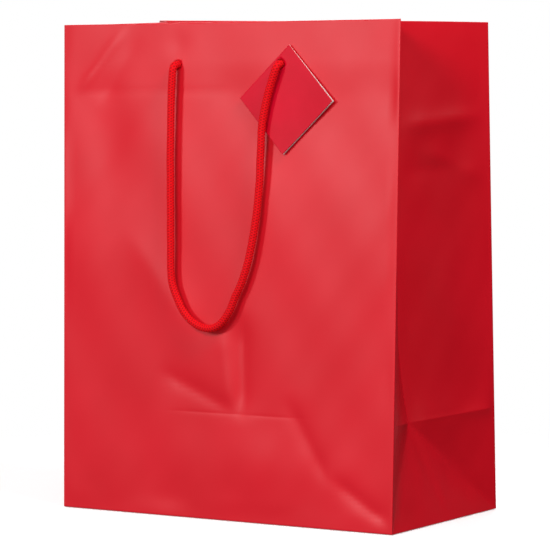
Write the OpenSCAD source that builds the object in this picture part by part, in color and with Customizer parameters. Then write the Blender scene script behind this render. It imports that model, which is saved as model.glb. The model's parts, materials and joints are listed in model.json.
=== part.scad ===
// Paper gift bag: flat bottom, pushed-in side gussets, two cord handles and a folded gift tag.
// Millimetres. Origin: centre of the underside. +Z up, +X to the bag's right, front faces -Y.

/* [Bag] */
// Width of the bag across its front
bag_w = 260; // [180:5:420]
// Height of the bag
bag_h = 330; // [240:5:480]
// Depth of the bag at its base
bag_d = 140; // [90:5:200]
// Depth of the bag at its mouth, where the gussets are pushed in
mouth_d = 116; // [70:2:180]
// Thickness of the laminated paper
paper_t = 0.3; // [0.2:0.05:0.5]

/* [Gussets] */
// How far a gusset's centre crease is pushed in at the fold across it
fold_push = 29; // [16:1:36]
// How far the centre crease is pushed in at the mouth
mouth_push = 42; // [24:1:50]
// Height over which the crease swings in from its fold towards its depth at the mouth
push_rise = 60; // [40:5:120]

/* [Top edge] */
// Depth of the paper turned in at the mouth
hem_h = 45; // [35:1:60]
// Height of each reinforcing card under the turned-in paper
card_h = 42; // [30:1:58]
// Thickness of each reinforcing card
card_t = 0.8; // [0.5:0.1:1.5]
// How far each card stops short of the bag's corners
card_inset = 7; // [5:1:15]
// Drop from the mouth's edge to each card
card_drop = 1; // [0.5:0.5:3]

/* [Cord holes] */
// Distance between the two holes of a handle
hole_spacing = 82; // [60:2:140]
// Drop from the mouth's edge to the holes' centres
hole_drop = 28; // [20:1:32]
// Diameter of the cord holes
hole_d = 6; // [5.6:0.1:9]

/* [Handles] */
// Diameter of the handle cord
cord_d = 5.2; // [3:0.1:5.4]
// Length of cord left below each knot
tail_l = 14; // [6:1:16]

/* [Base] */
// Depth of the front and back base flaps
flap_d = 80; // [60:1:86]
// Depth of the left and right base flaps
side_flap_d = 58; // [30:1:62]
// Thickness of the loose board in the base
board_t = 1; // [0.6:0.1:2]
// Gap between the board and the walls
board_gap = 3; // [2:0.5:8]
// Width of the glued flap at the back left corner
seam_w = 16; // [10:1:25]

/* [Tag] */
// Side of the square tag
tag_side = 51; // [40:1:60]
// Thickness of the tag's card
tag_t = 0.4; // [0.3:0.05:0.6]
// Diameter of the tag's hole
tag_hole_d = 6.4; // [5.8:0.1:9]
// Distance of the hole from the tag's top corner, along the fold
tag_hole_along = 13; // [10:0.5:16]
// Distance of the hole from the fold
tag_hole_in = 5; // [5:0.5:9]
// Direction of the fold from the top corner, counted from +X
tag_fold_angle = 223; // [200:1:250]
// How far the tag's front leaf stands open
tag_opening = 1.5; // [1:0.5:3]
// Gap between the front panel and the tag's back leaf
tag_gap = 0.6; // [0.4:0.1:2]

/* [Hidden] */

red_front = [0.82, 0.12, 0.16];
red_side = [0.68, 0.04, 0.10];
red_cord = [0.78, 0.03, 0.07];
red_tag = [0.75, 0.02, 0.10];
white_card = [0.90, 0.89, 0.86];
white_paper = [0.94, 0.93, 0.92];

// Gap left between pieces that lie face to face or meet at a crease
skin_gap = 0.05;
// Gap between a gusset and the paper turned in behind it, whose cells do not line up
lining_gap = 0.3;
// Gap left where a gusset meets the edge of the front or back panel
corner_gap = 3 * paper_t + 0.2;
// Gap left around each crease within a gusset
crease_gap = 0.6;
// Running clearance between pieces on different bodies
run_gap = 0.3;

half_w = bag_w / 2;
half_d = bag_d / 2;
lean_in = (bag_d - mouth_d) / 2;
lean = atan(lean_in / bag_h);
panel_l = bag_h / cos(lean);
hole_z = bag_h - hole_drop;

// Depths of the layers behind a panel, counted inwards from its outer face
card_n = paper_t + skin_gap;
hem_n = card_n + card_t + skin_gap;
lining_n = hem_n + paper_t;

// Half the bag's depth at height z
function half_depth(z) = half_d - lean_in * z / bag_h;

// The fold across the gusset lies half_d up the bag's corners. At the centre crease it dips,
// because the foot triangle below it leans inwards and is half_d high along its slope
fold_edge_z = half_d * cos(lean);
fold_mid_z = sqrt(pow(half_d, 2) - pow(fold_push, 2));

// How far the gusset's centre crease is pushed in at height z, above its fold
function push_in(z) = mouth_push - (mouth_push - fold_push) * exp((fold_mid_z - z) / push_rise);

// The strands hang along the panel, just clear of the open tag that hangs between them and it
tag_room = 2 * tag_t + skin_gap + tag_side * sin(tag_opening);
strand_out = tag_gap + tag_room + run_gap + cord_d / 2;
hinge_y = half_depth(hole_z) + strand_out;
stub_end_y = hinge_y - cord_d / 2 - run_gap;

// ---- Walls ----

// Places its children on the front panel: x across, y inwards from the outer face, z up the slope
module on_front() {
    translate([0, -half_d, 0]) rotate([-lean, 0, 0]) children();
}

// The same on the back panel
module on_back() {
    rotate([0, 0, 180]) on_front() children();
}

// Length of the bore that cuts a cord hole through every layer
bore_l = 40;

// Two cord holes through a front piece
module cord_holes() {
    for (side = [-1, 1])
        translate([side * hole_spacing / 2, -half_depth(hole_z), hole_z])
            rotate([-90, 0, 0]) cylinder(d = hole_d, h = bore_l, center = true, $fn = 48);
}

// A flat layer of the front panel, from x0 to x1, z0 to z1 up the slope, n to n + t inwards
module layer(x0, x1, z0, z1, n, t) {
    on_front() translate([x0, n, z0]) cube([x1 - x0, t, z1 - z0]);
}

module panel() {
    difference() {
        layer(-half_w, half_w, paper_t * tan(lean), panel_l, 0, paper_t);
        cord_holes();
    }
}

// How far the turned-in paper reaches past the card at each end
hem_past = 2;
hem_half = half_w - card_inset + hem_past;

module hem() {
    difference() {
        layer(-hem_half, hem_half, panel_l - hem_h, panel_l, hem_n, paper_t);
        cord_holes();
    }
}

card_half = half_w - card_inset;
card_top = panel_l - card_drop;

module card() {
    difference() {
        layer(-card_half, card_half, card_top - card_h, card_top, card_n, card_t);
        cord_holes();
    }
}

module front_panel() { color(red_front) panel(); }
module back_panel() { color(red_front) rotate([0, 0, 180]) panel(); }
module front_hem() { color(red_front) hem(); }
module back_hem() { color(red_front) rotate([0, 0, 180]) hem(); }
module front_card() { color(white_card) card(); }
module back_card() { color(white_card) rotate([0, 0, 180]) card(); }

// Gap from the glue flap to the corner beside it and to the turned-in paper above it
seam_gap = 2;
// Height at which the glue flap starts
seam_lift = 5;
seam_edge = half_w - seam_gap;
seam_top = panel_l - hem_h - seam_gap;

// The glue flap of the wrapped sheet, inside the back panel at the left corner
module seam_flap() {
    color(white_paper) rotate([0, 0, 180])
        layer(seam_edge - seam_w, seam_edge, seam_lift, seam_top, paper_t + skin_gap, paper_t);
}

// ---- Gussets ----

// A point of the right gusset's front half: t from the cross fold (0) to the mouth (1),
// w from the bag's corner (0) to the centre crease (half_d), n inwards from the outer face
function gusset_point(t, w, n) =
    let (ze = fold_edge_z + t * (bag_h - fold_edge_z))
    let (zc = fold_mid_z + t * (bag_h - fold_mid_z))
    let (edge = [half_w, -half_depth(ze), ze])
    let (crease = [half_w - push_in(zc), 0, zc])
    let (across = crease - [half_w, -half_depth(zc), zc])
    let (inward = [-across[1], across[0], 0] / norm(across))
    edge + (crease - edge) * w / half_d + inward * n;

// Rows and columns of flat cells that stand for the gusset's slight twist
twist_rows = 16;
twist_columns = 3;

// A strip of that half gusset as a closed solid, ruled between the corner and the centre crease
module gusset_patch(t0, t1, w0, w1, n0, n1, rows) {
    row_len = twist_columns + 1;
    skin_len = (rows + 1) * row_len;
    points = [for (n = [n0, n1]) for (i = [0 : rows]) for (j = [0 : twist_columns])
        gusset_point(t0 + (t1 - t0) * i / rows, w0 + (w1 - w0) * j / twist_columns, n)];
    cells = [for (i = [0 : rows - 1]) for (j = [0 : twist_columns - 1]) i * row_len + j];
    outer = [for (c = cells)
        for (tri = [[c, c + row_len, c + 1], [c + 1, c + row_len, c + row_len + 1]]) tri];
    inner = [for (tri = outer) [tri[0], tri[2], tri[1]] + skin_len * [1, 1, 1]];
    rim = concat(
        [for (j = [0 : twist_columns]) j],
        [for (i = [1 : rows]) i * row_len + twist_columns],
        [for (j = [twist_columns - 1 : -1 : 0]) rows * row_len + j],
        [for (i = [rows - 1 : -1 : 1]) i * row_len]);
    edges = [for (k = [0 : len(rim) - 1]) let (a = rim[k], b = rim[(k + 1) % len(rim)])
        for (tri = [[a, b, a + skin_len], [b, b + skin_len, a + skin_len]]) tri];
    polyhedron(points, concat(outer, edges, inner));
}

// Upper half of a gusset, above its cross fold
module gusset_half() {
    cut = crease_gap / (bag_h - fold_edge_z);
    gusset_patch(cut, 1, corner_gap, half_d - skin_gap, 0, paper_t, twist_rows);
}

// How far from the panel's lining the paper turned in inside a gusset starts
gusset_hem_gap = 3;
gusset_hem_rows = 3;

// The paper turned in at the mouth inside half a gusset
module gusset_hem() {
    t0 = 1 - hem_h / (bag_h - fold_edge_z);
    n0 = paper_t + lining_gap;
    gusset_patch(t0, 1, lining_n + gusset_hem_gap, half_d - skin_gap, n0, n0 + paper_t, gusset_hem_rows);
}

// A flat three-cornered facet, its edges drawn in by the crease gap. Its corners run clockwise
// as seen from outside the bag, and it is thickened inwards
module facet(a, b, c) {
    la = norm(b - c);
    lb = norm(c - a);
    lc = norm(a - b);
    middle = (la * a + lb * b + lc * c) / (la + lb + lc);
    cross_ab = cross(b - a, c - a);
    shrink = 1 - crease_gap * (la + lb + lc) / norm(cross_ab);
    inward = cross_ab / norm(cross_ab) * paper_t;
    outer = [for (p = [a, b, c]) middle + (p - middle) * shrink];
    polyhedron(concat(outer, [for (p = outer) p + inward]),
        [[0, 1, 2], [5, 4, 3], [0, 3, 4], [0, 4, 1], [1, 4, 5], [1, 5, 2], [2, 5, 3], [2, 3, 0]]);
}

gusset_apex = [half_w - push_in(fold_mid_z), 0, fold_mid_z];
foot_lift = paper_t;

// Folded triangle between the bag's corner, the cross fold and the diagonal crease
module corner_fold() {
    facet(
        [half_w, corner_gap - half_d, foot_lift],
        [half_w, corner_gap - half_depth(fold_edge_z), fold_edge_z],
        gusset_apex
    );
}

// Triangle that stands on the base between the two diagonal creases
module gusset_foot() {
    facet([half_w, half_d - corner_gap, foot_lift], [half_w, corner_gap - half_d, foot_lift], gusset_apex);
}

module right_gusset_front() { color(red_side) gusset_half(); }
module right_gusset_back() { color(red_side) mirror([0, 1, 0]) gusset_half(); }
module left_gusset_front() { color(red_side) mirror([1, 0, 0]) gusset_half(); }
module left_gusset_back() { color(red_side) rotate([0, 0, 180]) gusset_half(); }
module right_front_hem() { color(red_side) gusset_hem(); }
module right_back_hem() { color(red_side) mirror([0, 1, 0]) gusset_hem(); }
module left_front_hem() { color(red_side) mirror([1, 0, 0]) gusset_hem(); }
module left_back_hem() { color(red_side) rotate([0, 0, 180]) gusset_hem(); }
module right_front_corner_fold() { color(red_side) corner_fold(); }
module right_back_corner_fold() { color(red_side) mirror([0, 1, 0]) corner_fold(); }
module left_front_corner_fold() { color(red_side) mirror([1, 0, 0]) corner_fold(); }
module left_back_corner_fold() { color(red_side) rotate([0, 0, 180]) corner_fold(); }
module right_gusset_foot() { color(red_side) gusset_foot(); }
module left_gusset_foot() { color(red_side) rotate([0, 0, 180]) gusset_foot(); }

// ---- Base ----

layer_step = paper_t + skin_gap;
flap_edge = paper_t + run_gap;
side_edge = 2 * paper_t + run_gap;

// A base flap with its corners folded away at 45 degrees: span wide at its fold, deep from it
module base_flap(span, deep, level) {
    translate([0, 0, level * layer_step]) linear_extrude(paper_t)
        polygon([[-span / 2, 0], [span / 2, 0], [span / 2 - deep, deep], [deep - span / 2, deep]]);
}

module front_base_flap() {
    color(red_front) translate([0, flap_edge - half_d, 0]) base_flap(bag_w - 2 * side_edge, flap_d, 0);
}

module back_base_flap() {
    color(red_front) rotate([0, 0, 180])
        translate([0, flap_edge - half_d, 0]) base_flap(bag_w - 2 * side_edge, flap_d, 1);
}

// How far a side flap's fold stands in from the bag's side
side_fold_in = side_edge + 1;

module side_base_flap() {
    rotate([0, 0, 90]) translate([0, side_fold_in - half_w, 0])
        base_flap(bag_d - 4 * flap_edge, side_flap_d, 2);
}

module right_base_flap() { color(red_side) side_base_flap(); }
module left_base_flap() { color(red_side) rotate([0, 0, 180]) side_base_flap(); }

// Loose stiffening board that lies on the flaps
module base_board() {
    color(white_card) translate([board_gap - half_w, board_gap - half_d, 3 * layer_step])
        cube([bag_w - 2 * board_gap, bag_d - 2 * board_gap, board_t]);
}

// ---- Cord handles ----

cord_sides = 10;

// The front handle's route from hole to hole, as seen from the front: across, and down from the holes
handle_route = [
    [-41, 0], [-41.5, -10], [-42, -20], [-42, -31], [-42, -42], [-42, -53], [-42, -64], [-41.5, -76],
    [-41.5, -88], [-41, -100], [-41, -111], [-40.5, -122], [-40.5, -133], [-39.5, -145], [-36, -153],
    [-33, -159], [-29, -165], [-23, -170.5], [-16, -174], [-8, -175], [-1, -172.5], [4, -167],
    [8, -161], [11, -153], [15.5, -145], [18.5, -137], [21, -129], [23.5, -118], [25.5, -107],
    [27, -97], [28, -86], [29, -75], [29, -64], [29.5, -53], [29.5, -43], [31, -33], [33.5, -22],
    [37, -11], [41, 0]
];

route = [for (p = handle_route) let (z = hole_z + p[1]) [p[0], -half_depth(z) - strand_out, z]];

// A tube swept along the route: its rings stand square to the cord and share the +Y direction
module cord_tube(path, d) {
    n = len(path);
    rings = [for (i = [0 : n - 1])
        let (ahead = path[min(i + 1, n - 1)] - path[max(i - 1, 0)])
        let (along = ahead / norm(ahead), across = cross(along, [0, 1, 0]))
        [for (k = [0 : cord_sides - 1])
            let (a = k * 360 / cord_sides) path[i] + d / 2 * (cos(a) * across + sin(a) * [0, 1, 0])]];
    points = [for (ring = rings) for (p = ring) p];
    walls = [for (i = [0 : n - 2]) for (k = [0 : cord_sides - 1])
        let (a = i * cord_sides + k, b = i * cord_sides + (k + 1) % cord_sides)
            for (tri = [[a, b, a + cord_sides], [b, b + cord_sides, a + cord_sides]]) tri];
    start_cap = [for (k = [cord_sides - 1 : -1 : 0]) k];
    end_cap = [for (k = [0 : cord_sides - 1]) (n - 1) * cord_sides + k];
    polyhedron(points, concat([start_cap], walls, [end_cap]));
}

module front_handle() { color(red_cord) cord_tube(route, cord_d); }
module back_handle() { color(red_cord) rotate([0, 0, 180]) cord_tube(route, cord_d); }

// Radius of a knot's ring at the middle of its cord, and its gap to the lining
knot_r = 4.2;
knot_gap = 0.25;
knot_y = lining_n + knot_gap + cord_d / 2 - half_depth(hole_z);
// Diameter of the cord's slightly crushed tail
tail_d = cord_d - 0.4;

// One end of a handle: the stretch through the hole, the knot inside and the tail below it
module handle_end() {
    rotate([-90, 0, 0]) translate([0, 0, -stub_end_y])
        cylinder(d = cord_d, h = stub_end_y + knot_y, $fn = 32);
    translate([0, knot_y, 0]) rotate([90, 0, 0])
        rotate_extrude($fn = 48) translate([knot_r, 0]) circle(d = cord_d, $fn = 24);
    translate([0, knot_y, -knot_r - tail_l]) cylinder(d = tail_d, h = tail_l, $fn = 32);
}

module handle_ends() {
    for (side = [-1, 1])
        translate([side * hole_spacing / 2, 0, hole_z]) handle_end();
}

module front_handle_ends() { color(red_cord) handle_ends(); }
module back_handle_ends() { color(red_cord) rotate([0, 0, 180]) handle_ends(); }

// ---- Tag ----

// A leaf of the tag in its own plane: x down the fold from the top corner, y away from the fold
module tag_leaf() {
    difference() {
        cube([tag_side, tag_side, tag_t]);
        translate([tag_hole_along, tag_hole_in, -1]) cylinder(d = tag_hole_d, h = tag_t + 2, $fn = 48);
    }
}

// Puts the tag's hole on the right-hand hole of the front handle, its level z = 0 along the panel
module on_tag() {
    translate([hole_spacing / 2, -half_depth(hole_z), hole_z])
        rotate([90 - lean, 0, 0]) rotate([0, 0, tag_fold_angle])
            translate([-tag_hole_along, -tag_hole_in, tag_gap]) children();
}

module tag_back_leaf() { color(red_tag) on_tag() tag_leaf(); }

// Hinged on the fold, which runs along the outer face of the back leaf
module tag_front_leaf() {
    color(red_tag) on_tag() translate([0, 0, tag_t + skin_gap]) rotate([tag_opening, 0, 0]) tag_leaf();
}

front_panel();
back_panel();
right_gusset_front();
right_gusset_back();
left_gusset_front();
left_gusset_back();
right_front_corner_fold();
right_back_corner_fold();
left_front_corner_fold();
left_back_corner_fold();
right_gusset_foot();
left_gusset_foot();
front_hem();
back_hem();
right_front_hem();
right_back_hem();
left_front_hem();
left_back_hem();
front_card();
back_card();
seam_flap();
front_base_flap();
back_base_flap();
right_base_flap();
left_base_flap();
base_board();
front_handle();
back_handle();
front_handle_ends();
back_handle_ends();
tag_back_leaf();
tag_front_leaf();
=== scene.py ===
"""Gift bag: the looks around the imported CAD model. Metres, in the CAD frame: +Z up, front towards -Y."""
import json
import math

import bpy
import numpy as np
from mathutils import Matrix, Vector


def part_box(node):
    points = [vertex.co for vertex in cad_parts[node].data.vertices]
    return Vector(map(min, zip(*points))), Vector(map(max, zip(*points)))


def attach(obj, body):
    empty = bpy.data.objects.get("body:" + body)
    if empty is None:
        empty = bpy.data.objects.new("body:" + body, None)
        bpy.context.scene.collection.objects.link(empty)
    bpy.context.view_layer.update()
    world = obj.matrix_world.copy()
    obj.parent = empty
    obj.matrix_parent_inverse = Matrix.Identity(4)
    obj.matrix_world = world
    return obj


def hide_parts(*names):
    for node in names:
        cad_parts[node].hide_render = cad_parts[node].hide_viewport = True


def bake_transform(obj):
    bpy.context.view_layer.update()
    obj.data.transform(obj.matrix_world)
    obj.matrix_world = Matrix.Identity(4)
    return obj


bpy.ops.wm.read_factory_settings(use_empty=True)
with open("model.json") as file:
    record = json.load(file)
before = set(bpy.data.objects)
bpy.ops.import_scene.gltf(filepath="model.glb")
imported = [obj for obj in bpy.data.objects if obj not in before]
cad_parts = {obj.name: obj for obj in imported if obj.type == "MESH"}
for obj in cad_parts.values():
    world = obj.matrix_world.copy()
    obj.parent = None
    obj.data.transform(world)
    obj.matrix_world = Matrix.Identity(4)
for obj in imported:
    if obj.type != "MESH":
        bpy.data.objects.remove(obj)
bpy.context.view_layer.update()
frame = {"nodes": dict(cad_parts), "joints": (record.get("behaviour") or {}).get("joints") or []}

MM = 0.001

# ---- Sizes read from the frame ----

PANEL_LO, PANEL_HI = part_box("front_panel")
HEM_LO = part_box("front_hem")[0]
CARD_LO, CARD_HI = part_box("front_card")

WIDTH = PANEL_HI.x - PANEL_LO.x
HEIGHT = PANEL_HI.z
HALF_W = WIDTH / 2
HALF_D = -PANEL_LO.y
PAPER = 0.3 * MM
LEAN_IN = PANEL_HI.y - PANEL_LO.y - PAPER
HEM = HEIGHT - HEM_LO.z

joints = {joint["name"]: joint for joint in frame["joints"]}
PIVOT = Vector(joints["front_handle_swing"]["pos_m"])
TAG_PIVOT = Vector(joints["tag_swing"]["pos_m"])
HOLE_X = TAG_PIVOT.x
HOLE_Z = PIVOT.z
CORD_D = 5.2 * MM


# ---- Camera ----

CAMERA_AZIMUTH = math.radians(32.06)
CAMERA_DISTANCE = 2.012
CAMERA_HEIGHT = 0.2819
CAMERA_PITCH = math.radians(3.483)
CAMERA_SLIDE = -0.0011
CAMERA_ROLL = math.radians(0.2)
CAMERA_LENS = 193.9


def make_camera():
    """The camera at the photograph's viewing angle: to the bag's right, just above its middle."""
    camera = bpy.data.objects.new("camera", bpy.data.cameras.new("camera"))
    bpy.context.scene.collection.objects.link(camera)
    camera.data.lens = CAMERA_LENS
    camera.data.sensor_width = 36
    camera.data.clip_start = 0.05
    camera.data.clip_end = 20
    side, front = math.sin(CAMERA_AZIMUTH), math.cos(CAMERA_AZIMUTH)
    camera.location = (
        CAMERA_DISTANCE * side + CAMERA_SLIDE * front,
        -CAMERA_DISTANCE * front + CAMERA_SLIDE * side,
        CAMERA_HEIGHT,
    )
    camera.rotation_euler = (math.pi / 2 - CAMERA_PITCH, CAMERA_ROLL, CAMERA_AZIMUTH)
    bpy.context.scene.camera = camera


make_camera()


# ---- Materials ----

# The point attribute that tells how deep in the cord's braid a point lies, from 0 to 1; the yarn's painted
# groove shade follows it
GROOVE = "groove"


class Nodes:
    """A material's node tree, with short calls that add a node and wire its sockets."""

    def __init__(self, name):
        self.material = bpy.data.materials.new(name)
        self.material.use_nodes = True
        self.tree = self.material.node_tree
        self.shader = self.tree.nodes["Principled BSDF"]

    def add(self, kind, settings=None, **inputs):
        node = self.tree.nodes.new(kind)
        for key, value in (settings or {}).items():
            setattr(node, key, value)
        for key, value in inputs.items():
            self.put(node, key.replace("_", " "), value)
        return node

    def put(self, node, key, value):
        socket = node.inputs[key]
        if isinstance(value, bpy.types.NodeSocket):
            self.tree.links.new(value, socket)
        else:
            socket.default_value = value

    def shade(self, **inputs):
        for key, value in inputs.items():
            self.put(self.shader, key.replace("_", " "), value)

    def noise(self, scale, detail=2.0, roughness=0.5, vector=None):
        node = self.add("ShaderNodeTexNoise", Scale=scale, Detail=detail, Roughness=roughness)
        if vector is not None:
            self.put(node, "Vector", vector)
        return node.outputs["Fac"]

    def place(self):
        return self.add("ShaderNodeTexCoord").outputs["Object"]

    def ramp(self, value, low, high, color_low, color_high):
        node = self.add("ShaderNodeValToRGB", Fac=value)
        stops = node.color_ramp.elements
        stops[0].position, stops[0].color = low, (*color_low, 1)
        stops[1].position, stops[1].color = high, (*color_high, 1)
        return node.outputs["Color"]

    def span(self, value, low, high):
        node = self.add("ShaderNodeMapRange", Value=value)
        node.inputs["To Min"].default_value = low
        node.inputs["To Max"].default_value = high
        return node.outputs["Result"]

    def bump(self, height, strength, distance, normal=None):
        """distance is the bump's full height, in metres."""
        node = self.add("ShaderNodeBump", Height=height, Strength=strength, Distance=distance)
        if normal is not None:
            self.put(node, "Normal", normal)
        return node.outputs["Normal"]


def red_paper():
    """Red paper under a satin film: faint mottling, a fine orange-peel, and slight changes of gloss."""
    m = Nodes("red_laminated_paper")
    place = m.place()
    blotch = m.noise(14, 3, 0.55, place)
    peel = m.noise(420, 2, 0.6, place)
    fibre = m.noise(2600, 2, 0.7, place)
    m.shade(
        Base_Color=m.ramp(blotch, 0.3, 0.75, (0.670, 0.002, 0.012), (0.735, 0.003, 0.016)),
        Roughness=m.span(m.noise(30, 3, 0.6, place), 0.36, 0.44),
        Specular_IOR_Level=0.4,
        Normal=m.bump(fibre, 0.12, 0.00003, m.bump(peel, 0.10, 0.00012)),
    )
    return m.material


def white_paper():
    """The sheet's unprinted back: matt white with fine fibres."""
    m = Nodes("white_paper_back")
    place = m.place()
    fibre = m.noise(1500, 4, 0.7, place)
    m.shade(
        Base_Color=m.ramp(m.noise(25, 3, 0.5, place), 0.3, 0.7, (0.80, 0.79, 0.77), (0.86, 0.85, 0.83)),
        Roughness=0.88,
        Specular_IOR_Level=0.25,
        Normal=m.bump(fibre, 0.25, 0.00005),
    )
    return m.material


def board_card():
    """Greyish white board with flecks and a felt-like surface."""
    m = Nodes("white_board")
    place = m.place()
    fleck = m.noise(700, 3, 0.75, place)
    m.shade(
        Base_Color=m.ramp(fleck, 0.28, 0.52, (0.60, 0.58, 0.54), (0.80, 0.785, 0.75)),
        Roughness=0.92,
        Specular_IOR_Level=0.2,
        Normal=m.bump(m.noise(900, 3, 0.6, place), 0.3, 0.00008),
    )
    return m.material


def cord_yarn():
    """Soft red yarn: fine fibres, a fuzzy sheen, and painted shade that darkens the grooves between strands.
    """
    m = Nodes("red_cord_yarn")
    place = m.place()
    fibre = m.noise(2200, 4, 0.7, place)
    groove = m.add("ShaderNodeAttribute", {"attribute_name": GROOVE}).outputs["Fac"]
    # Painted shade: the yarn's colour is multiplied darker where the braid's grooves lie deep
    painted_groove_shade = m.add("ShaderNodeMix", {"data_type": "RGBA", "blend_type": "MULTIPLY"})
    m.tree.links.new(m.ramp(groove, 0.15, 0.85, (1, 1, 1), (0.42, 0.3, 0.35)), painted_groove_shade.inputs["B"])
    m.tree.links.new(m.ramp(fibre, 0.3, 0.7, (0.76, 0.001, 0.006), (0.90, 0.002, 0.009)), painted_groove_shade.inputs["A"])
    painted_groove_shade.inputs["Factor"].default_value = 1.0
    m.shade(
        Base_Color=painted_groove_shade.outputs["Result"],
        Roughness=0.75,
        Specular_IOR_Level=0.15,
        Sheen_Weight=0.25,
        Sheen_Roughness=0.4,
        Sheen_Tint=(1.0, 0.05, 0.06, 1),
        Normal=m.bump(fibre, 0.35, 0.0001),
    )
    return m.material


def tag_face():
    """The tag's red face: satin, a little deeper than the bag."""
    m = Nodes("red_tag_face")
    place = m.place()
    m.shade(
        Base_Color=m.ramp(m.noise(40, 3, 0.55, place), 0.3, 0.75, (0.60, 0.001, 0.018), (0.68, 0.002, 0.024)),
        Roughness=m.span(m.noise(60, 3, 0.6, place), 0.36, 0.44),
        Specular_IOR_Level=0.12,
        Normal=m.bump(m.noise(500, 2, 0.6, place), 0.1, 0.0001),
    )
    return m.material


def cut_edge():
    """The raw cut edge of printed card: pale pink where the ink has bled into the white core."""
    m = Nodes("pink_cut_edge")
    place = m.place()
    m.shade(
        Base_Color=m.ramp(m.noise(900, 3, 0.6, place), 0.35, 0.65, (0.80, 0.14, 0.15), (0.90, 0.33, 0.32)),
        Roughness=0.8,
        Specular_IOR_Level=0.25,
        Normal=m.bump(m.noise(2000, 2, 0.6, place), 0.2, 0.00005),
    )
    return m.material


RED = red_paper()
WHITE = white_paper()
BOARD = board_card()
YARN = cord_yarn()
TAG_FACE = tag_face()
EDGE = cut_edge()


# ---- Mesh helpers ----


def link_mesh(name, verts, faces, materials, smooth=True):
    mesh = bpy.data.meshes.new(name)
    mesh.from_pydata([tuple(v) for v in verts], [], faces)
    mesh.validate()
    obj = bpy.data.objects.new(name, mesh)
    bpy.context.scene.collection.objects.link(obj)
    for material in materials:
        mesh.materials.append(material)
    if smooth:
        mesh.polygons.foreach_set("use_smooth", [True] * len(mesh.polygons))
    mesh.update()
    return obj


def smooth_step(x, low, high):
    t = np.clip((np.asarray(x, float) - low) / (high - low), 0, 1)
    return t * t * (3 - 2 * t)


# ---- Cords ----

# The front handle's route, seen from the front: across, and down from the holes, in millimetres
HANDLE_ROUTE = [
    [-41, 0], [-41.5, -10], [-42, -20], [-42, -31], [-42, -42], [-42, -53], [-42, -64], [-41.5, -76],
    [-41.5, -88], [-41, -100], [-41, -111], [-40.5, -122], [-40.5, -133], [-39.5, -145], [-36, -153],
    [-33, -159], [-29, -165], [-23, -170.5], [-16, -174], [-8, -175], [-1, -172.5], [4, -167],
    [8, -161], [11, -153], [15.5, -145], [18.5, -137], [21, -129], [23.5, -118], [25.5, -107],
    [27, -97], [28, -86], [29, -75], [29, -64], [29.5, -53], [29.5, -43], [31, -33], [33.5, -22],
    [37, -11], [41, 0],
]


# The front handle's places across the bag, from the front: where its cord meets the knots, the knots' own
# middle, and the stretch (y, then z from the holes) over which it passes from the bag to the moving loop
MOUTH_Y = -57.2 * MM
KNOT_Y = -54.7 * MM
BLEND_FROM = (-60.5 * MM, -0.5 * MM)
BLEND_TO = (-64.7 * MM, -4.7 * MM)

RING_STEP = 0.42 * MM
CORD_SIDES = 24
BRAID_STRANDS = 4
BRAID_PITCH = 7.6 * MM
BRAID_DEPTH = 0.45 * MM
KNOT_TURNS = 1.35
KNOT_R = 4.0 * MM
KNOT_LENGTH = 4.4 * MM
KNOT_CORD = 0.94


def route_points():
    """Ring centres of the front handle: out of the left hole, down round the loop and into the right one."""
    strand_out = -PIVOT.y - half_depth(HOLE_Z)
    loop = np.array([(x * MM, 0, HOLE_Z + drop * MM) for x, drop in HANDLE_ROUTE])
    loop[:, 1] = -half_depth(loop[:, 2]) - strand_out
    start, end = [(-HOLE_X, MOUTH_Y, HOLE_Z)], [(HOLE_X, MOUTH_Y, HOLE_Z)]
    return resample(rounded(np.vstack([start, loop, end])), RING_STEP)


def resample(points, step):
    """Points at equal steps along a polyline."""
    lengths = np.r_[0, np.cumsum(np.linalg.norm(np.diff(points, axis=0), axis=1))]
    count = int(lengths[-1] / step) + 1
    wanted = np.linspace(0, lengths[-1], count)
    return np.column_stack([np.interp(wanted, lengths, points[:, k]) for k in range(3)])


def rounded(points, reach=3.2 * MM, step=0.5 * MM):
    """A polyline with its corners rounded off by averaging over about reach along it."""
    fine = resample(points, step)
    width = int(reach / step)
    weights = np.exp(-0.5 * (np.arange(-2 * width, 2 * width + 1) / width) ** 2)
    weights /= weights.sum()
    head = 2 * fine[0] - fine[1:2 * width + 1][::-1]
    tail = 2 * fine[-1] - fine[-2 * width - 1:-1][::-1]
    padded = np.vstack([head, fine, tail])
    return np.column_stack([np.convolve(padded[:, k], weights, "valid") for k in range(3)])


def braid_height(turn, along):
    """How far the braid stands in from its widest, for strands that cross over and under each other."""
    lift = 2 * math.pi * along / BRAID_PITCH
    one = np.cos(BRAID_STRANDS * turn + BRAID_STRANDS * lift)
    two = np.cos(BRAID_STRANDS * turn - BRAID_STRANDS * lift)
    return BRAID_DEPTH * (1 - np.maximum(one, two)) * 0.5


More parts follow.
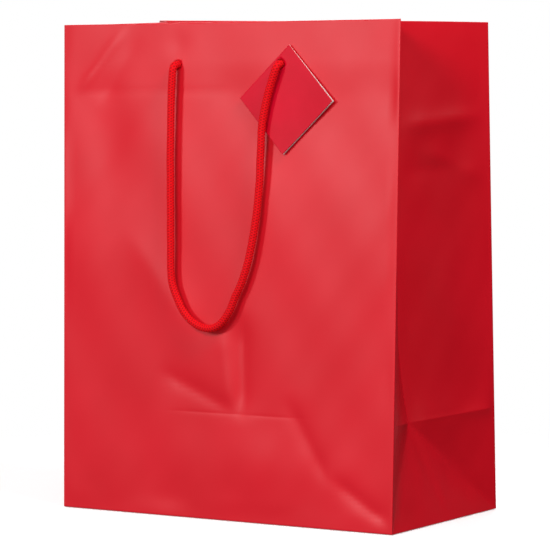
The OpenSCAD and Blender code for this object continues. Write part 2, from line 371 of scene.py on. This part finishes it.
def braided_tube(name, centres, diameter):
    """A tube along the centres, its surface raised into a braid, with a flat cap on each end."""
    count = len(centres)
    along = np.r_[0, np.cumsum(np.linalg.norm(np.diff(centres, axis=0), axis=1))]
    tangents = np.gradient(centres, axis=0)
    tangents /= np.linalg.norm(tangents, axis=1)[:, None]
    across = np.cross(tangents[0], (0, 1, 0) if abs(tangents[0][1]) < 0.9 else (1, 0, 0))
    turns = np.linspace(0, 2 * math.pi, CORD_SIDES, endpoint=False)
    verts, grooves = [], []
    for i in range(count):
        across = across - tangents[i] * across.dot(tangents[i])
        across /= np.linalg.norm(across)
        third = np.cross(tangents[i], across)
        depth = braid_height(turns, along[i])
        grooves.append(depth / BRAID_DEPTH)
        radius = diameter / 2 - depth
        verts.append(
            centres[i]
            + radius[:, None] * (np.cos(turns)[:, None] * across + np.sin(turns)[:, None] * third)
        )
    faces = []
    for i in range(count - 1):
        for k in range(CORD_SIDES):
            a, b = i * CORD_SIDES + k, i * CORD_SIDES + (k + 1) % CORD_SIDES
            faces.append((a, b, b + CORD_SIDES, a + CORD_SIDES))
    faces.append(tuple(range(CORD_SIDES - 1, -1, -1)))
    faces.append(tuple((count - 1) * CORD_SIDES + k for k in range(CORD_SIDES)))
    obj = link_mesh(name, np.vstack(verts), faces, [YARN])
    groove = obj.data.attributes.new(GROOVE, "FLOAT", "POINT")
    groove.data.foreach_set("value", np.concatenate(grooves))
    for cap in list(obj.data.polygons)[-2:]:
        cap.use_smooth = False
    return obj


def behind(points):
    """The same points turned half round the bag, for the back handle, where the bag stands out of true."""
    return settle(points * (-1, -1, 1))


def make_handle(name, handle, centres, at_back):
    """A cord along the centres in place of the CAD handle, which it hides. It is baked where it stands and
    not attached to the bag or the handle.
    """
    cord = braided_tube(name, centres, CORD_D)
    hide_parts(handle)
    passing = np.array([(0, y, HOLE_Z + z) for y, z in (BLEND_FROM, BLEND_TO)])
    start, end = behind(passing) if at_back else passing
    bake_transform(cord)


def knot_centres(hole_x):
    """An overhand knot's centreline inside the mouth: off the stub, round the knot and out as a tail."""
    turns = np.linspace(0, 2 * math.pi * KNOT_TURNS, 60)
    ring = KNOT_R + 0.9 * MM * np.sin(turns * 1.5)
    coil = np.column_stack([
        hole_x + ring * np.sin(turns),
        KNOT_Y - 1.0 * MM + KNOT_LENGTH * turns / turns[-1],
        HOLE_Z + ring * np.cos(turns),
    ])
    tail_top = coil[-1]
    tail = np.array([
        tail_top + (0.2 * MM, 0.6 * MM, -4 * MM),
        (hole_x + 1.5 * MM, KNOT_Y + 0.8 * MM, HOLE_Z - 12 * MM),
        (hole_x + 0.5 * MM, KNOT_Y, HOLE_Z - 18 * MM),
    ])
    start = np.array([(hole_x, MOUTH_Y, HOLE_Z), (hole_x, MOUTH_Y + 0.6 * MM, HOLE_Z + 0.5 * MM)])
    return resample(rounded(np.vstack([start, coil, tail]), 1.2 * MM), RING_STEP)


# ---- The folded sheet ----

SLOPE = math.atan(LEAN_IN / HEIGHT)
SLANT = HEIGHT / math.cos(SLOPE)
DEPTH = 2 * HALF_D
PERIMETER = 2 * (WIDTH + DEPTH)
FOLD_SPREAD = 0.55 * MM
PLAIN_LINING = 0.65 * MM
CARD_LINING = 1.55 * MM
CARD_INSET = CARD_LO.x - PANEL_LO.x
FOLD_PUSH = 29 * MM
MOUTH_PUSH = 42 * MM
PUSH_RISE = 60 * MM
APEX_Z = math.sqrt(HALF_D ** 2 - FOLD_PUSH ** 2)


def half_depth(z):
    return HALF_D - LEAN_IN * z / HEIGHT


def push_in(z):
    """How far the gusset's centre crease is pushed in, above its cross fold."""
    return MOUTH_PUSH - (MOUTH_PUSH - FOLD_PUSH) * np.exp((APEX_Z - z) / PUSH_RISE)


def gusset_fold(w, v):
    """A point of the right gusset's front half: w from the corner (0) to the centre crease (HALF_D)."""
    corner = np.array([HALF_W, -HALF_D, 0.0])
    middle = np.array([HALF_W, 0.0, 0.0])
    apex = np.array([HALF_W - FOLD_PUSH, 0.0, APEX_Z])
    fold_end = np.array([HALF_W, -HALF_D * (1 - math.sin(SLOPE)), HALF_D * math.cos(SLOPE)])
    a, b = (w / HALF_D)[:, None], (v / HALF_D)[:, None]
    foot = corner + a * (middle - corner) + b * (apex - middle)
    side = corner + b * (fold_end - corner) + a * (apex - fold_end)
    t = ((v - HALF_D) / (SLANT - HALF_D))[:, None]
    edge_z = fold_end[2] + t[:, 0] * (HEIGHT - fold_end[2])
    crease_z = APEX_Z + t[:, 0] * (HEIGHT - APEX_Z)
    edge = np.column_stack([np.full(len(w), HALF_W), -half_depth(edge_z), edge_z])
    crease = np.column_stack([HALF_W - push_in(crease_z), np.zeros(len(w)), crease_z])
    upper = edge + a * (crease - edge)
    return np.where(t >= 0, upper, np.where(a >= b, foot, side))


def flat_to_bag(s, v):
    """Folds the flat sheet with sharp creases. s runs round the bag from the front left corner, v up it."""
    s = np.mod(s, PERIMETER)
    flip = s >= WIDTH + DEPTH
    s = np.where(flip, s - WIDTH - DEPTH, s)
    w = np.minimum(s - WIDTH, DEPTH - (s - WIDTH))
    panel = np.column_stack([s - HALF_W, -HALF_D + v * math.sin(SLOPE), v * math.cos(SLOPE)])
    side = gusset_fold(np.maximum(w, 0), np.maximum(v, 0))
    side[:, 1] *= np.where(s - WIDTH > HALF_D, -1, 1)
    points = np.where((s <= WIDTH)[:, None], panel, side)
    points[:, :2] *= np.where(flip, -1, 1)[:, None]
    under = v < 0
    tuck = np.maximum(-v, 0)
    points[:, 0] = np.where(under, np.clip(points[:, 0], tuck - HALF_W, HALF_W - tuck), points[:, 0])
    points[:, 1] = np.where(under, np.clip(points[:, 1], tuck - HALF_D, HALF_D - tuck), points[:, 1])
    points[:, 2] = np.where(under, 0, points[:, 2])
    return points


KERNEL = [(-1.6, 0.08), (-0.8, 0.24), (0.0, 0.36), (0.8, 0.24), (1.6, 0.08)]


def soft_fold(s, v):
    """The folded sheet with every crease rounded off over about a millimetre."""
    total = np.zeros((len(s), 3))
    for ds, weight_s in KERNEL:
        for dv, weight_v in KERNEL:
            total += weight_s * weight_v * flat_to_bag(s + ds * FOLD_SPREAD, v + dv * FOLD_SPREAD)
    return total


def outward(s, v):
    """The sheet's outward normal, from small steps along and up it."""
    step = 0.6 * MM
    across = soft_fold(s + step, v) - soft_fold(s - step, v)
    up = soft_fold(s, v + step) - soft_fold(s, v - step)
    normal = np.cross(across, up)
    return normal / np.linalg.norm(normal, axis=1)[:, None]


def crease(x, z, start, end, height, width, sharp=0.35):
    """A soft ridge (or dent, if height is negative) along a line, fading at both ends."""
    a, b = np.array(start), np.array(end)
    run = b - a
    length = np.linalg.norm(run)
    t = ((x - a[0]) * run[0] + (z - a[1]) * run[1]) / length ** 2
    off = ((x - a[0]) * run[1] - (z - a[1]) * run[0]) / length
    fade = smooth_step(t, -0.15, 0.25) * (1 - smooth_step(t, 0.75, 1.15))
    return height * np.exp(-np.sqrt((off / width) ** 2 + sharp ** 2) + sharp) * fade


def blob(x, z, centre, size, height):
    return height * np.exp(-((x - centre[0]) / size[0]) ** 2 - ((z - centre[1]) / size[1]) ** 2)


def ripple(x, z, phase, scale=1.0):
    """Slow, irregular waves, as handling leaves in laminated paper."""
    return scale * (
        0.30 * np.sin(x / 31 + 0.4 * phase) * np.sin(z / 43 + phase)
        + 0.22 * np.sin(x / 17 - z / 29 + 2.1 * phase)
        + 0.10 * np.sin(x / 9.5 + z / 14 + 3.3 * phase)
        + 0.05 * np.sin(x / 5.2 - z / 7.1 + 1.7 * phase)
    )


# How deep, and how far round the tag, the front panel lies back under it, in millimetres
TAG_HOLLOW = 0.9
TAG_REACH = 75


def front_wrinkles(x, z):
    """Dents and buckles of the front panel, in millimetres: x from its middle, z up from the base."""
    d = ripple(x, z, 0.7, 0.9)
    d += crease(x, z, (-84, 326), (-116, 287), 0.9, 2.6)
    d += crease(x, z, (-74, 320), (-100, 280), -0.5, 6.0)
    d += blob(x, z, (-41, 316), (9, 9), -0.5)
    d += crease(x, z, (12, 132), (14, 72), -1.3, 6.0)
    d += crease(x, z, (-2, 126), (6, 74), 0.7, 7.5)
    d += crease(x, z, (-48, 96), (8, 73), -0.7, 5.0)
    d += crease(x, z, (-76, 186), (-28, 126), 0.4, 9.0)
    d += crease(x, z, (50, 80), (80, 32), -0.8, 5.0)
    d += crease(x, z, (86, 32), (127, 6), -0.9, 4.5)
    d += blob(x, z, (-104, 175), (22, 38), 0.9)
    d += blob(x, z, (-96, 240), (18, 40), -0.8)
    d += blob(x, z, (60, 180), (46, 70), 0.7)
    d += blob(x, z, (20, 38), (60, 20), 0.6)
    d += crease(x, z, (-40, 71), (60, 71), -0.10, 1.3, 0.2)
    d += crease(x, z, (-120, 285), (0, 285), -0.13, 1.3, 0.2)
    from_hole = np.hypot(x - HOLE_X / MM, z - HOLE_Z / MM)
    return d - TAG_HOLLOW * np.exp(-from_hole ** 4 / TAG_REACH ** 4)


def back_wrinkles(x, z):
    """Buckles of the back panel, which the photograph doesn't show: x from its middle, z up."""
    d = ripple(x, z, 2.9, 1.0)
    d += crease(x, z, (-70, 150), (-30, 90), 1.1, 7.0)
    d += crease(x, z, (40, 250), (90, 190), -0.9, 8.0)
    d += crease(x, z, (-110, 40), (-126, 8), 1.0, 5.0)
    d += crease(x, z, (-60, 71), (80, 71), -0.12, 1.3, 0.2)
    d += crease(x, z, (-120, 285), (120, 285), -0.13, 1.3, 0.2)
    return d


def gusset_wrinkles(x, z, phase):
    """Waves of a side gusset: x from its centre crease, positive towards the back."""
    d = ripple(x * 1.4, z, phase, 0.9)
    d += crease(x, z, (8, 262), (62, 268), 1.5, 7.0)
    d += crease(x, z, (22, 246), (64, 226), 1.1, 8.0)
    d += crease(x, z, (10, 232), (52, 236), -0.9, 9.0)
    d += blob(x, z, (38, 150), (14, 50), 0.8)
    d += blob(x, z, (-36, 190), (14, 60), 0.7)
    d += blob(x, z, (30, 30), (20, 18), -0.5)
    return d


WRINKLE_GAIN = 1.6
FOLD_RIDGE = 1.1
FOLD_REACH = 9


def wrinkle(s, v):
    """How far the sheet stands out from its plain folds. Corners, the base and the mouth stay put."""
    s = np.mod(s, PERIMETER)
    z = v / MM
    d = np.zeros(len(s))
    starts = [0, WIDTH, WIDTH + DEPTH, 2 * WIDTH + DEPTH, PERIMETER]
    for k, low in enumerate(starts[:4]):
        high = starts[k + 1]
        inside = (s >= low) & (s < high)
        x = (s - (low + high) / 2) / MM
        shape = [front_wrinkles(x, z), gusset_wrinkles(x, z, 1.3), back_wrinkles(x, z),
                 gusset_wrinkles(-x, z, 4.1)][k]
        reach = np.minimum(s - low, high - s)
        mask = smooth_step(reach, 0.5 * MM, 7 * MM)
        if k in (1, 3):
            mask *= smooth_step(np.abs(x), 1, 9)
            fold_line = np.abs(z - HALF_D / MM)
            diagonal = np.abs(z - (HALF_D / MM - np.abs(x)))
            mask *= smooth_step(fold_line, 0, 7) * np.where(z < HALF_D / MM, smooth_step(diagonal, 0, 8), 1)
            ridge = FOLD_RIDGE * np.exp(-fold_line / FOLD_REACH) * smooth_step(np.abs(x), 0, 14)
            shape = shape * mask + ridge
            mask = smooth_step(reach, 0.5 * MM, 9 * MM)
        d = np.where(inside, shape * mask, d)
    stiff_top = 1 - 0.75 * smooth_step(v, SLANT - HEM - 6 * MM, SLANT - HEM + 20 * MM)
    return d * MM * WRINKLE_GAIN * smooth_step(v, 0.5 * MM, 14 * MM) * (0.35 + 0.65 * stiff_top)


# The bag's lean out of true, fitted to the photograph's outline. The CAD has none of it.
BACK_LIFT = 5.4 * MM
LEFT_FLARE = 4.6 * MM
BACK_SPREAD = 2.8 * MM
FLARE_FROM = 50 * MM
FLARE_TO = 1.5 * HALF_W


def settle(points):
    """Leans the bag out of true: the back left corner up, the left edge out, and the back outwards."""
    up = np.clip(points[:, 2] / HEIGHT, 0, 1.05)
    backness = smooth_step((points[:, 1] + HALF_D) / DEPTH, 0.05, 0.95)
    leftness = np.clip((HALF_W - points[:, 0]) / WIDTH, 0, 1)
    left_edge = 2 * smooth_step(-points[:, 0], FLARE_FROM, FLARE_TO)
    moved = points.copy()
    moved[:, 2] += BACK_LIFT * leftness * backness * up
    moved[:, 0] -= LEFT_FLARE * left_edge * up
    moved[:, 1] += BACK_SPREAD * backness * (1 - leftness)
    return moved


def on_sheet(s, v, n):
    """A point n behind the sheet's outer face, in the bag as it stands."""
    return settle(soft_fold(s, v) + outward(s, v) * (wrinkle(s, v) - n)[:, None])


def lining_depth(s):
    """How far behind the outer face the turned-in paper's inner face lies: further where the card is."""
    s = np.mod(s, WIDTH + DEPTH)
    card = smooth_step(s, CARD_INSET - 2 * MM, CARD_INSET + MM)
    card *= 1 - smooth_step(s, WIDTH - CARD_INSET - MM, WIDTH - CARD_INSET + 2 * MM)
    return PLAIN_LINING + (CARD_LINING - PLAIN_LINING) * card


def spread(length, step, fine):
    """Positions from 0 to length: close together at both ends, step apart between."""
    ends = np.array(fine) * MM
    inner = length - 2 * ends[-1]
    count = max(1, round(inner / (step * MM)))
    middle = np.linspace(ends[-1], length - ends[-1], count + 1)[1:-1]
    return np.r_[ends, middle, (length - ends)[::-1]]


FINE = [0, 0.35, 0.7, 1.1, 1.6, 2.4, 3.6]
HOLE_R = 3.0 * MM
HOLE_V = HOLE_Z / math.cos(SLOPE)


def near_hole(values, centres, radius=HOLE_R, clear=5.2):
    """Adds the close grid lines that a round hole needs, and drops those under clear steps away."""
    step = radius / 3
    low, high = values.min(), values.max()
    for centre in centres:
        close = centre + np.arange(-4, 5) * step
        close = close[(close > low) & (close < high)]
        values = np.r_[values[np.abs(values - centre) > clear * step], close]
    return np.sort(values)


def round_the_hole(s, v, centre_s, centre_v, radius=HOLE_R):
    """Moves grid points near a hole so that the square of lines at its rim becomes a circle."""
    ds, dv = s - centre_s, v - centre_v
    square = np.maximum(np.abs(ds), np.abs(dv))
    dist = np.hypot(ds, dv)
    pull = 1 - smooth_step(square, radius * 1.05, radius * 1.6)
    scale = np.where(dist > 1e-9, square / np.maximum(dist, 1e-9), 1)
    scale = 1 + (scale - 1) * pull
    return centre_s + ds * scale, centre_v + dv * scale, square < radius * 0.999


HOLES_S = [HALF_W - HOLE_X, HALF_W + HOLE_X]
HOLES_S += [WIDTH + DEPTH + h for h in HOLES_S]


def make_sheet():
    """The bag's one sheet: up the outside, over the mouth's edge, and down inside as the turned-in hem."""
    half_gusset = spread(HALF_D, 2.6, FINE)
    panel = near_hole(spread(WIDTH, 3.0, FINE), HOLES_S[:2])
    side = np.r_[half_gusset, HALF_D + half_gusset[1:]]
    row_s = np.r_[panel[:-1], WIDTH + side[:-1]]
    row_s = np.r_[row_s, row_s + WIDTH + DEPTH]
    upper = near_hole(HALF_D + spread(SLANT - HALF_D, 3.0, FINE)[:-1], [HOLE_V])
    tucked = np.array([-1.3, -0.9, -0.5, -0.2]) * MM
    rise = np.r_[tucked, half_gusset[:-1], upper]
    rise = rise[rise < SLANT - MM]
    bend = np.radians([0, 20, 45, 70, 90, 110, 135, 160, 180])
    drop = near_hole(np.arange(SLANT - MM, SLANT - HEM, -3.0 * MM)[1:], [HOLE_V])[::-1]

    grid_s, grid_v, grid_n = [], [], []
    radius = lining_depth(row_s) / 2
    for v in rise:
        grid_s.append(row_s)
        grid_v.append(np.full(len(row_s), v))
        grid_n.append(np.zeros(len(row_s)))
    for angle in bend:
        grid_s.append(row_s)
        grid_v.append(SLANT - radius + radius * math.sin(angle))
        grid_n.append(radius - radius * math.cos(angle))
    for v in np.r_[drop, SLANT - HEM]:
        grid_s.append(row_s)
        grid_v.append(np.full(len(row_s), v))
        grid_n.append(2 * radius)
    s, v, n = np.array(grid_s), np.array(grid_v), np.array(grid_n)
    rows, columns = s.shape
    cut = np.zeros(s.shape, bool)
    for centre in HOLES_S:
        s, v, gone = round_the_hole(s, v, centre, HOLE_V)
        cut |= gone
    verts = on_sheet(s.ravel(), v.ravel(), n.ravel())
    faces = []
    for i in range(rows - 1):
        for j in range(columns):
            k = (j + 1) % columns
            ring = (i * columns + j, i * columns + k, (i + 1) * columns + k, (i + 1) * columns + j)
            if cut[i, j] or cut[i, k] or cut[i + 1, j] or cut[i + 1, k]:
                continue
            if row_s[j] % (WIDTH + DEPTH) < WIDTH or v[i, j] >= HALF_D:
                faces.append(ring)
                continue
            w = row_s[j] % (WIDTH + DEPTH) - WIDTH
            if w < HALF_D:
                faces += [(ring[0], ring[1], ring[2]), (ring[0], ring[2], ring[3])]
            else:
                faces += [(ring[0], ring[1], ring[3]), (ring[1], ring[2], ring[3])]
    sheet = link_mesh("bag_sheet", verts, faces, [RED, WHITE, EDGE])
    thicken(sheet, PAPER, inner=1, rim=2)
    return sheet


def thicken(obj, thickness, inner=0, rim=0):
    """Gives a sheet its thickness, behind its printed face, and applies it."""
    solid = obj.modifiers.new("thickness", "SOLIDIFY")
    solid.thickness = thickness
    solid.offset = -1
    solid.material_offset = inner
    solid.material_offset_rim = rim
    apply_modifiers(obj)


def apply_modifiers(obj):
    depsgraph = bpy.context.evaluated_depsgraph_get()
    mesh = bpy.data.meshes.new_from_object(obj.evaluated_get(depsgraph))
    obj.modifiers.clear()
    obj.data = mesh


def sheet_slab(name, s0, s1, v0, v1, n0, n1, material, nodes, slot, holes=()):
    """A flat layer glued behind the sheet, which follows its folds and wrinkles."""
    row_s = near_hole(np.linspace(s0, s1, max(2, int((s1 - s0) / (4 * MM)))), holes)
    row_v = np.linspace(v0, v1, max(2, int((v1 - v0) / (4 * MM))))
    if holes:
        row_v = near_hole(row_v, [HOLE_V])
    s, v = np.meshgrid(row_s, row_v)
    cut = np.zeros(s.shape, bool)
    for centre in holes:
        s, v, gone = round_the_hole(s, v, centre, HOLE_V)
        cut |= gone
    columns = s.shape[1]
    verts = on_sheet(s.ravel(), v.ravel(), np.full(s.size, n0))
    faces = []
    for i in range(s.shape[0] - 1):
        for j in range(columns - 1):
            if not (cut[i, j] or cut[i, j + 1] or cut[i + 1, j] or cut[i + 1, j + 1]):
                a = i * columns + j
                faces.append((a, a + 1, a + columns + 1, a + columns))
    slab = link_mesh(name, verts, faces, [material])
    thicken(slab, n1 - n0)
    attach(slab, "bag")
    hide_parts(*nodes)
    return slab


SHEET_NODES = [
    "front_panel", "back_panel",
    "right_gusset_front", "right_gusset_back", "left_gusset_front", "left_gusset_back",
    "right_front_corner_fold", "right_back_corner_fold",
    "left_front_corner_fold", "left_back_corner_fold",
    "right_gusset_foot", "left_gusset_foot",
    "front_hem", "back_hem",
    "right_front_hem", "right_back_hem", "left_front_hem", "left_back_hem",
]

# ---- Build ----

front_route = route_points()
make_handle("front_cord", "front_handle", front_route, at_back=False)
make_handle("back_cord", "back_handle", behind(front_route), at_back=True)

bag_sheet = make_sheet()
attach(bag_sheet, "bag")
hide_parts(*SHEET_NODES)

# How far behind the sheet's outer face the card and the glue flap begin and end
CARD_LAYER = (0.35 * MM, 1.15 * MM)
FLAP_LAYER = (0.35 * MM, 0.65 * MM)
CARD_V = (SLANT - MM - (CARD_HI.z - CARD_LO.z), SLANT - MM)
for title, first in (("front", 0.0), ("back", WIDTH + DEPTH)):
    sheet_slab(
        title + "_card_strip", first + CARD_INSET, first + WIDTH - CARD_INSET, *CARD_V,
        *CARD_LAYER, BOARD, [title + "_card"], "reinforcing_card",
        [first + HALF_W - HOLE_X, first + HALF_W + HOLE_X],
    )
SEAM_S = 2 * WIDTH + DEPTH - 2 * MM
SEAM_W = 16 * MM
sheet_slab(
    "seam_glue_flap", SEAM_S - SEAM_W, SEAM_S, 5 * MM, SLANT - HEM - 2 * MM,
    *FLAP_LAYER, WHITE, ["seam_flap"], "inner_paper",
)


def make_knots(title, node, turned):
    """Both knots of one handle, inside the mouth."""
    for name, hole_x in (("left", -HOLE_X), ("right", HOLE_X)):
        centres = knot_centres(hole_x)
        centres = behind(centres) if turned else centres
        knot = braided_tube(title + "_knot_" + name, centres, KNOT_CORD * CORD_D)
        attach(knot, "bag")
        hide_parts(node)


make_knots("front", "front_handle_ends", False)
make_knots("back", "back_handle_ends", True)


# ---- Tag ----

TAG_SIDE = 51 * MM
TAG_T = 0.4 * MM
TAG_HOLE = (13 * MM, 5 * MM)
TAG_HOLE_R = 3.2 * MM
TAG_FOLD = math.radians(223)
TAG_OPENING = math.radians(1.5)
TAG_GAP = 0.6 * MM
TAG_BOW = 0.5 * MM
TAG_BEND_V = 0.45 * MM
TAG_OUT = -Vector(joints["tag_swing"]["axis"]).normalized()
TAG_UP = TAG_OUT.cross(Vector((1, 0, 0)))


def tag_point(u, v, leaf_n):
    """u runs down the fold from the top corner, v away from the fold, leaf_n towards the viewer."""
    x = (u - TAG_HOLE[0]) * math.cos(TAG_FOLD) - (v - TAG_HOLE[1]) * math.sin(TAG_FOLD)
    z = (u - TAG_HOLE[0]) * math.sin(TAG_FOLD) + (v - TAG_HOLE[1]) * math.cos(TAG_FOLD)
    out = TAG_GAP + leaf_n
    return np.array(TAG_PIVOT) + np.outer(x, (1, 0, 0)) + np.outer(z, TAG_UP) + np.outer(out, TAG_OUT)


def make_tag():
    """One folded card: the back leaf, the bend at the fold, and the front leaf standing slightly open."""
    along = near_hole(spread(TAG_SIDE, 1.6, [0, 0.3, 0.8, 1.5]), TAG_HOLE[:1], TAG_HOLE_R, 5.0)
    away = near_hole(spread(TAG_SIDE, 1.6, [0.5, 0.9, 1.4]), TAG_HOLE[1:], TAG_HOLE_R, 5.0)
    bend_r = TAG_T + 0.03 * MM
    rows = [(v, 0.0, -1) for v in away[::-1]]
    rows += [(TAG_BEND_V - bend_r * math.sin(a), bend_r - bend_r * math.cos(a), 0)
             for a in np.radians([15, 40, 65, 90, 115, 140, 165])]
    rows += [(v, 2 * bend_r, 1) for v in away]
    verts, cut = [], []
    for v, n, leaf in rows:
        vs = np.full(len(along), v)
        us = along.copy()
        if leaf:
            us, vs, gone = round_the_hole(us, vs, *TAG_HOLE, TAG_HOLE_R)
        else:
            gone = np.zeros(len(along), bool)
        bow = TAG_BOW * np.sin(math.pi * np.clip(us / TAG_SIDE, 0, 1)) * (vs / TAG_SIDE) ** 2
        open_by = np.where(leaf > 0, np.maximum(vs, 0) * math.tan(TAG_OPENING) - bow, 0)
        verts.append(tag_point(us, vs, np.full(len(us), n) + open_by))
        cut.append(gone)
    columns = len(along)
    faces = []
    for i in range(len(rows) - 1):
        for j in range(columns - 1):
            if not (cut[i][j] or cut[i][j + 1] or cut[i + 1][j] or cut[i + 1][j + 1]):
                a = i * columns + j
                faces.append((a, a + 1, a + columns + 1, a + columns))
    tag = link_mesh("folded_tag", np.vstack(verts), faces, [TAG_FACE, WHITE, EDGE])
    thicken(tag, TAG_T, inner=1, rim=2)
    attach(tag, "tag")
    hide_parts("tag_back_leaf", "tag_front_leaf")
    return tag


make_tag()


# ---- Base ----

for node, material in (
    ("front_base_flap", RED), ("back_base_flap", RED), ("right_base_flap", RED), ("left_base_flap", RED),
    ("base_board", BOARD),
):
    piece = frame["nodes"][node]
    piece.data.materials.clear()
    piece.data.materials.append(material)


# ---- Studio ----

# The room's light on the bag: dim from this side, brighter from the other
ROOM_DARK_SIDE = (0.86, 0.4, 0.2)
ROOM_DIM = 0.05
ROOM_BRIGHT = 0.27

FLOOR_R = 0.55
FLOOR_GLOW = 0.34


def make_world():
    """A dim studio around the bag, seen by the camera as a plain white backdrop."""
    world = bpy.data.worlds.new("studio")
    bpy.context.scene.world = world
    world.use_nodes = True
    tree = world.node_tree
    backdrop = tree.nodes["Background"]
    room = tree.nodes.new("ShaderNodeBackground")
    room.inputs["Color"].default_value = (1, 1, 1, 1)
    backdrop.inputs["Color"].default_value = (1, 1, 1, 1)
    backdrop.inputs["Strength"].default_value = 1.0
    place = tree.nodes.new("ShaderNodeTexCoord")
    dot = tree.nodes.new("ShaderNodeVectorMath")
    dot.operation = "DOT_PRODUCT"
    dot.inputs[1].default_value = Vector(ROOM_DARK_SIDE).normalized()
    tree.links.new(place.outputs["Generated"], dot.inputs[0])
    glow = tree.nodes.new("ShaderNodeMapRange")
    tree.links.new(dot.outputs["Value"], glow.inputs["Value"])
    glow.inputs["From Min"].default_value = 0.2
    glow.inputs["From Max"].default_value = 0.75
    glow.inputs["To Min"].default_value = ROOM_BRIGHT
    glow.inputs["To Max"].default_value = ROOM_DIM
    tree.links.new(glow.outputs["Result"], room.inputs["Strength"])
    seen = tree.nodes.new("ShaderNodeLightPath")
    pick = tree.nodes.new("ShaderNodeMixShader")
    tree.links.new(seen.outputs["Is Camera Ray"], pick.inputs["Fac"])
    tree.links.new(room.outputs["Background"], pick.inputs[1])
    tree.links.new(backdrop.outputs["Background"], pick.inputs[2])
    tree.links.new(pick.outputs["Shader"], tree.nodes["World Output"].inputs["Surface"])


def area_light(name, place, target, size, power):
    light = bpy.data.lights.new(name, "AREA")
    light.shape = "RECTANGLE"
    light.size, light.size_y = size
    light.energy = power
    obj = bpy.data.objects.new(name, light)
    bpy.context.scene.collection.objects.link(obj)
    obj.location = place
    obj.rotation_euler = (Vector(target) - Vector(place)).to_track_quat("-Z", "Y").to_euler()


def make_floor():
    """A pale floor round the bag, fading out into the white backdrop. It throws no light on the bag."""
    sides, rings = 64, 12
    turns = np.linspace(0, 2 * math.pi, sides, endpoint=False)
    verts = [(0, 0, 0)]
    for r in np.linspace(0, FLOOR_R, rings + 1)[1:]:
        verts += [(r * math.cos(a), r * math.sin(a), 0) for a in turns]
    faces = [(0, 1 + k, 1 + (k + 1) % sides) for k in range(sides)]
    for i in range(rings - 1):
        for k in range(sides):
            a, b = 1 + i * sides + k, 1 + i * sides + (k + 1) % sides
            faces.append((a, a + sides, b + sides, b))
    floor = link_mesh("floor", verts, faces, [], False)
    m = Nodes("pale_floor")
    reach = m.add("ShaderNodeVectorMath", {"operation": "LENGTH"})
    m.tree.links.new(m.place(), reach.inputs[0])
    fade = m.add("ShaderNodeMapRange", {"interpolation_type": "SMOOTHSTEP"}, Value=reach.outputs["Value"])
    fade.inputs["From Min"].default_value = 0.35 * FLOOR_R
    fade.inputs["From Max"].default_value = 0.92 * FLOOR_R
    fade.inputs["To Min"].default_value = 1
    fade.inputs["To Max"].default_value = 0
    m.shade(
        Base_Color=(0.93, 0.93, 0.93, 1), Roughness=0.9, Specular_IOR_Level=0.1,
        Emission_Color=(1, 1, 1, 1), Emission_Strength=FLOOR_GLOW, Alpha=fade.outputs["Result"],
    )
    floor.data.materials.append(m.material)
    floor.location.z = -0.0004
    floor.visible_diffuse = False
    floor.visible_glossy = False


make_world()
make_floor()
area_light("key_front", (0.16, -1.75, 1.0), (0, 0, 0.16), (0.45, 0.45), 14)
area_light("window_left", (-0.95, -2.1, 0.75), (0, 0, 0.25), (0.34, 0.34), 14)
area_light("fill_right", (1.3, -0.4, 1.6), (0, 0, 0.2), (0.7, 0.7), 22)
area_light("lamp_by_camera", (1.15, -1.7, 0.5), (0, 0, 0.2), (0.3, 0.3), 3)
area_light("back_soft", (-1.0, 1.8, 1.4), (0, 0, 0.2), (1.2, 1.2), 26)
bpy.context.scene.view_settings.view_transform = "Standard"
